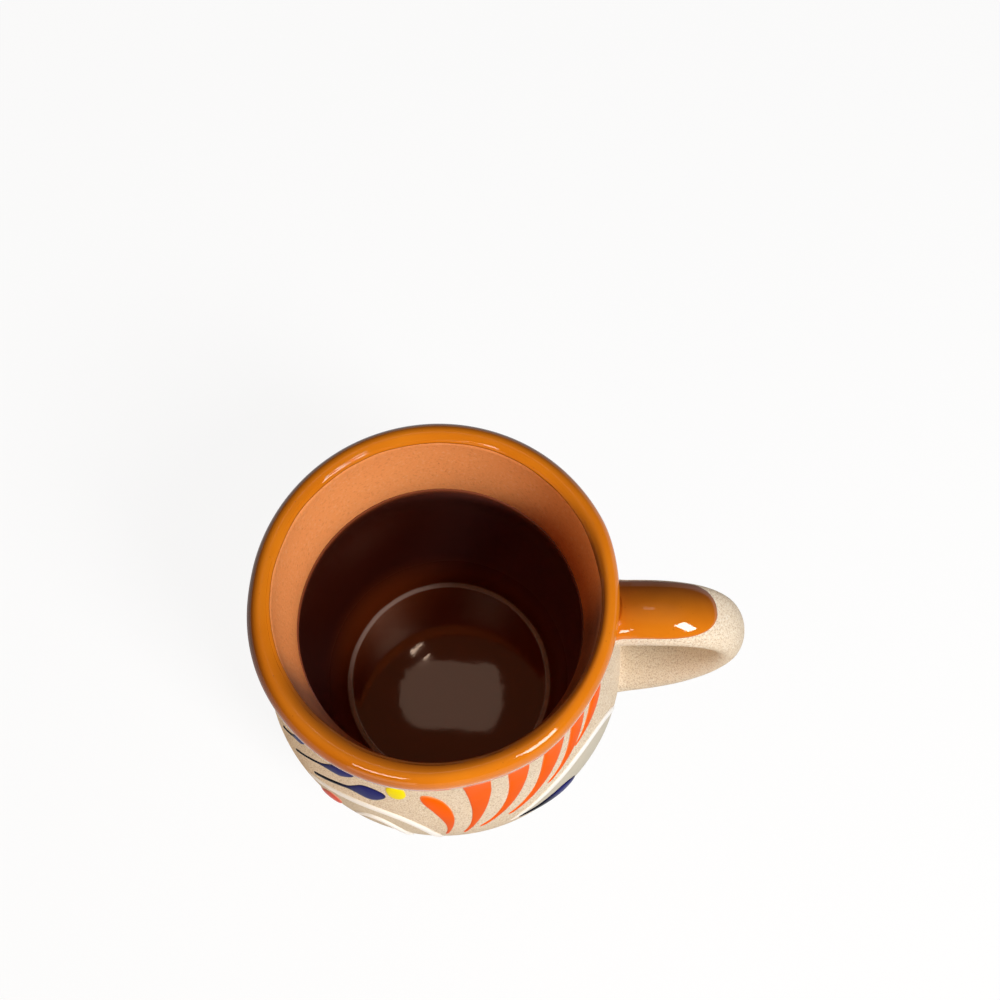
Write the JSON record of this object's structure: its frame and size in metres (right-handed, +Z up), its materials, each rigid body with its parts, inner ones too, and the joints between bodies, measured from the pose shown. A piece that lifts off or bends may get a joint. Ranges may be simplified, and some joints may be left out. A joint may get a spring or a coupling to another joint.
{
  "type": "jarrito clay mug",
  "caption": "Round-bellied clay mug with a flared glazed lip, a luted strap handle, a sandy slip coat outside, a dark liner glaze inside and raised trailed strokes round the belly.",
  "frame": {"origin": "middle of the flat foot, on the table", "axes": "+Z up along the axis of the body, +X out through the middle of the handle"},
  "size_m": [0.117, 0.093, 0.102],
  "materials": {
    "red_clay": "bare low-fired earthenware, matt and slightly grainy",
    "sandy_slip": "matt sandy slip with fine speckle",
    "caramel_glaze": "glossy translucent caramel glaze",
    "dark_glaze": "glossy dark brown liner glaze",
    "orange_glaze": "glossy raised glaze",
    "blue_glaze": "glossy raised glaze",
    "white_glaze": "glossy raised glaze",
    "yellow_glaze": "glossy raised glaze",
    "red_glaze": "glossy raised glaze"
  },
  "bodies": {
    "root": {"clay_body": "red_clay", "handle": "red_clay", "upper_joint": "sandy_slip", "lower_joint": "sandy_slip", "body_slip": "sandy_slip", "handle_slip": "sandy_slip", "lip_glaze": "caramel_glaze", "handle_glaze": "caramel_glaze", "liner_glaze": "dark_glaze", "orange_strokes": "orange_glaze", "blue_strokes": "blue_glaze", "white_arches": "white_glaze", "yellow_dots": "yellow_glaze", "red_strokes": "red_glaze"}
  },
  "joints": []
}
